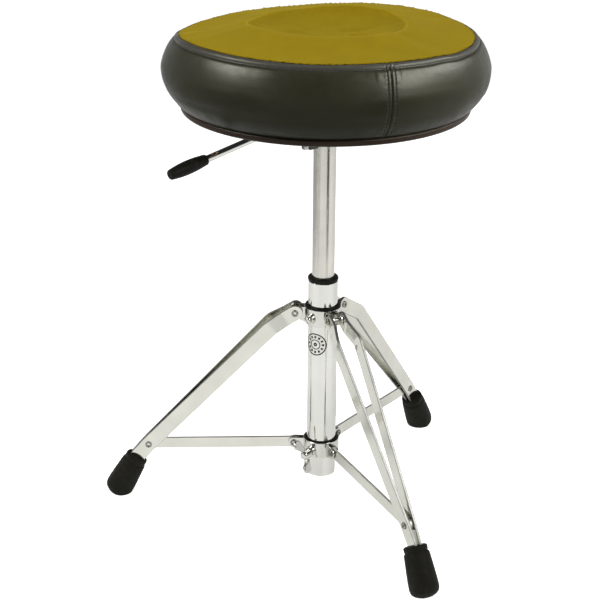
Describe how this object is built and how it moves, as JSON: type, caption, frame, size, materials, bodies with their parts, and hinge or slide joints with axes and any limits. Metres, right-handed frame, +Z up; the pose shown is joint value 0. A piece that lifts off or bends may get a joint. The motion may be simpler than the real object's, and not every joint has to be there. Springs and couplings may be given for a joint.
{
  "type": "drum throne",
  "caption": "Round padded stool seat on a gas-lift post, with a folding tripod of bent double-strip legs, braces, a sliding collar and a release lever.",
  "frame": {"origin": "on the floor, under the middle of the object's footprint box; the post stands 39 mm to +X of it", "axes": "+Z up along the post; one leg points along -X, the other two at 60 degrees either side of +X"},
  "size_m": [0.4277, 0.442, 0.5656],
  "materials": {
    "chrome": "polished",
    "satin_chrome": "satin",
    "steel": "zinc plated",
    "black_steel": "satin black",
    "black_plastic": "moulded",
    "rubber": "matte",
    "vinyl": "grained",
    "velour": "short pile",
    "foam": "open cell",
    "plywood": "plain",
    "lining": "woven"
  },
  "bodies": {
    "base": {"base_tube": "chrome", "top_bush": "black_plastic", "bottom_plug": "steel", "upper_bracket": "chrome", "bracket_sleeve": "black_plastic", "clamp_screw": "steel"},
    "collar": {"lower_collar": "chrome", "collar_sleeve": "black_plastic"},
    "wing": {"wing_bolt": "chrome"},
    "swivel": {"piston_rod": "steel", "rod_clip": "steel", "thrust_bearing": "steel", "piston": "black_plastic"},
    "seat": {"pressure_tube": "satin_chrome", "tube_gland": "black_plastic", "valve_body": "steel", "seat_hub": "black_steel", "hub_screw": "steel", "lever_pin": "steel", "mounting_plate": "black_steel", "plate_screw_1": "steel", "plate_screw_2": "steel", "plate_screw_3": "steel", "plate_screw_4": "steel", "seat_board": "plywood", "seat_foam": "foam", "side_band": "vinyl", "top_panel": "velour", "dust_cover": "lining"},
    "lever": {"lever_rod": "chrome", "lever_grip": "black_plastic"},
    "valve": {"release_pin": "steel"},
    "leg_left": {"leg_strip_left_a": "chrome", "leg_strip_left_b": "chrome", "foot_left": "rubber", "leg_pin_left": "steel", "brace_rivet_left_a": "steel", "brace_rivet_left_b": "steel"},
    "brace_left": {"brace_left": "chrome", "collar_pin_left": "steel"},
    "leg_front": {"leg_strip_front_a": "chrome", "leg_strip_front_b": "chrome", "foot_front": "rubber", "leg_pin_front": "steel", "brace_rivet_front_a": "steel", "brace_rivet_front_b": "steel"},
    "brace_front": {"brace_front": "chrome", "collar_pin_front": "steel"},
    "leg_right": {"leg_strip_right_a": "chrome", "leg_strip_right_b": "chrome", "foot_right": "rubber", "leg_pin_right": "steel", "brace_rivet_right_a": "steel", "brace_rivet_right_b": "steel"},
    "brace_right": {"brace_right": "chrome", "collar_pin_right": "steel"}
  },
  "joints": [
    {"name": "leg_fold_left", "type": "hinge", "parent": "base", "child": "leg_left", "pos_m": [0.0082, 0, 0.2362], "axis": [0, -1, 0], "range_deg": [0, 38]},
    {"name": "leg_fold_front", "type": "hinge", "parent": "base", "child": "leg_front", "pos_m": [0.0544, -0.02667, 0.2362], "axis": [0.866, 0.5, 0], "range_deg": [0, 38]},
    {"name": "leg_fold_right", "type": "hinge", "parent": "base", "child": "leg_right", "pos_m": [0.0544, 0.02667, 0.2362], "axis": [-0.866, 0.5, 0], "range_deg": [0, 38]},
    {"name": "collar_slide", "type": "slide", "parent": "base", "child": "collar", "axis": [0, 0, 1], "range_m": [0, 0.09154]},
    {"name": "brace_fold_left", "type": "hinge", "parent": "collar", "child": "brace_left", "pos_m": [0.0075, 0, 0.072], "axis": [0, -1, 0], "range_deg": [0, 78.15]},
    {"name": "brace_fold_front", "type": "hinge", "parent": "collar", "child": "brace_front", "pos_m": [0.05475, -0.02728, 0.072], "axis": [0.866, 0.5, 0], "range_deg": [0, 78.15]},
    {"name": "brace_fold_right", "type": "hinge", "parent": "collar", "child": "brace_right", "pos_m": [0.05475, 0.02728, 0.072], "axis": [-0.866, 0.5, 0], "range_deg": [0, 78.15]},
    {"name": "wing_turn", "type": "hinge", "parent": "collar", "child": "wing", "pos_m": [0.039, 0, 0.0692], "axis": [-0.5, -0.866, 0], "range_deg": [0, 270]},
    {"name": "seat_swivel", "type": "hinge", "parent": "base", "child": "swivel", "pos_m": [0.039, 0, 0.05], "axis": [0, 0, 1], "continuous": true},
    {"name": "seat_lift", "type": "slide", "parent": "swivel", "child": "seat", "axis": [0, 0, 1], "range_m": [-0.11, 0.04]},
    {"name": "lever_pull", "type": "hinge", "parent": "seat", "child": "lever", "pos_m": [0.02965, -0.00903, 0.459], "axis": [-0.6947, 0.7193, 0], "range_deg": [0, 7], "stiffness_Nm_per_rad": 1.5, "springref_deg": -8.59},
    {"name": "valve_press", "type": "slide", "parent": "seat", "child": "valve", "axis": [0, 0, -1], "range_m": [0, 0.0016]}
  ],
  "couplings": [
    {"joint": "leg_fold_front", "follows": "leg_fold_left", "ratio": 1},
    {"joint": "leg_fold_right", "follows": "leg_fold_left", "ratio": 1},
    {"joint": "collar_slide", "follows": "leg_fold_left", "m_per_rad": 0.13787},
    {"joint": "brace_fold_left", "follows": "leg_fold_left", "ratio": 2.0541},
    {"joint": "brace_fold_front", "follows": "leg_fold_left", "ratio": 2.0541},
    {"joint": "brace_fold_right", "follows": "leg_fold_left", "ratio": 2.0541},
    {"joint": "valve_press", "follows": "lever_pull", "m_per_rad": 0.0127}
  ]
}
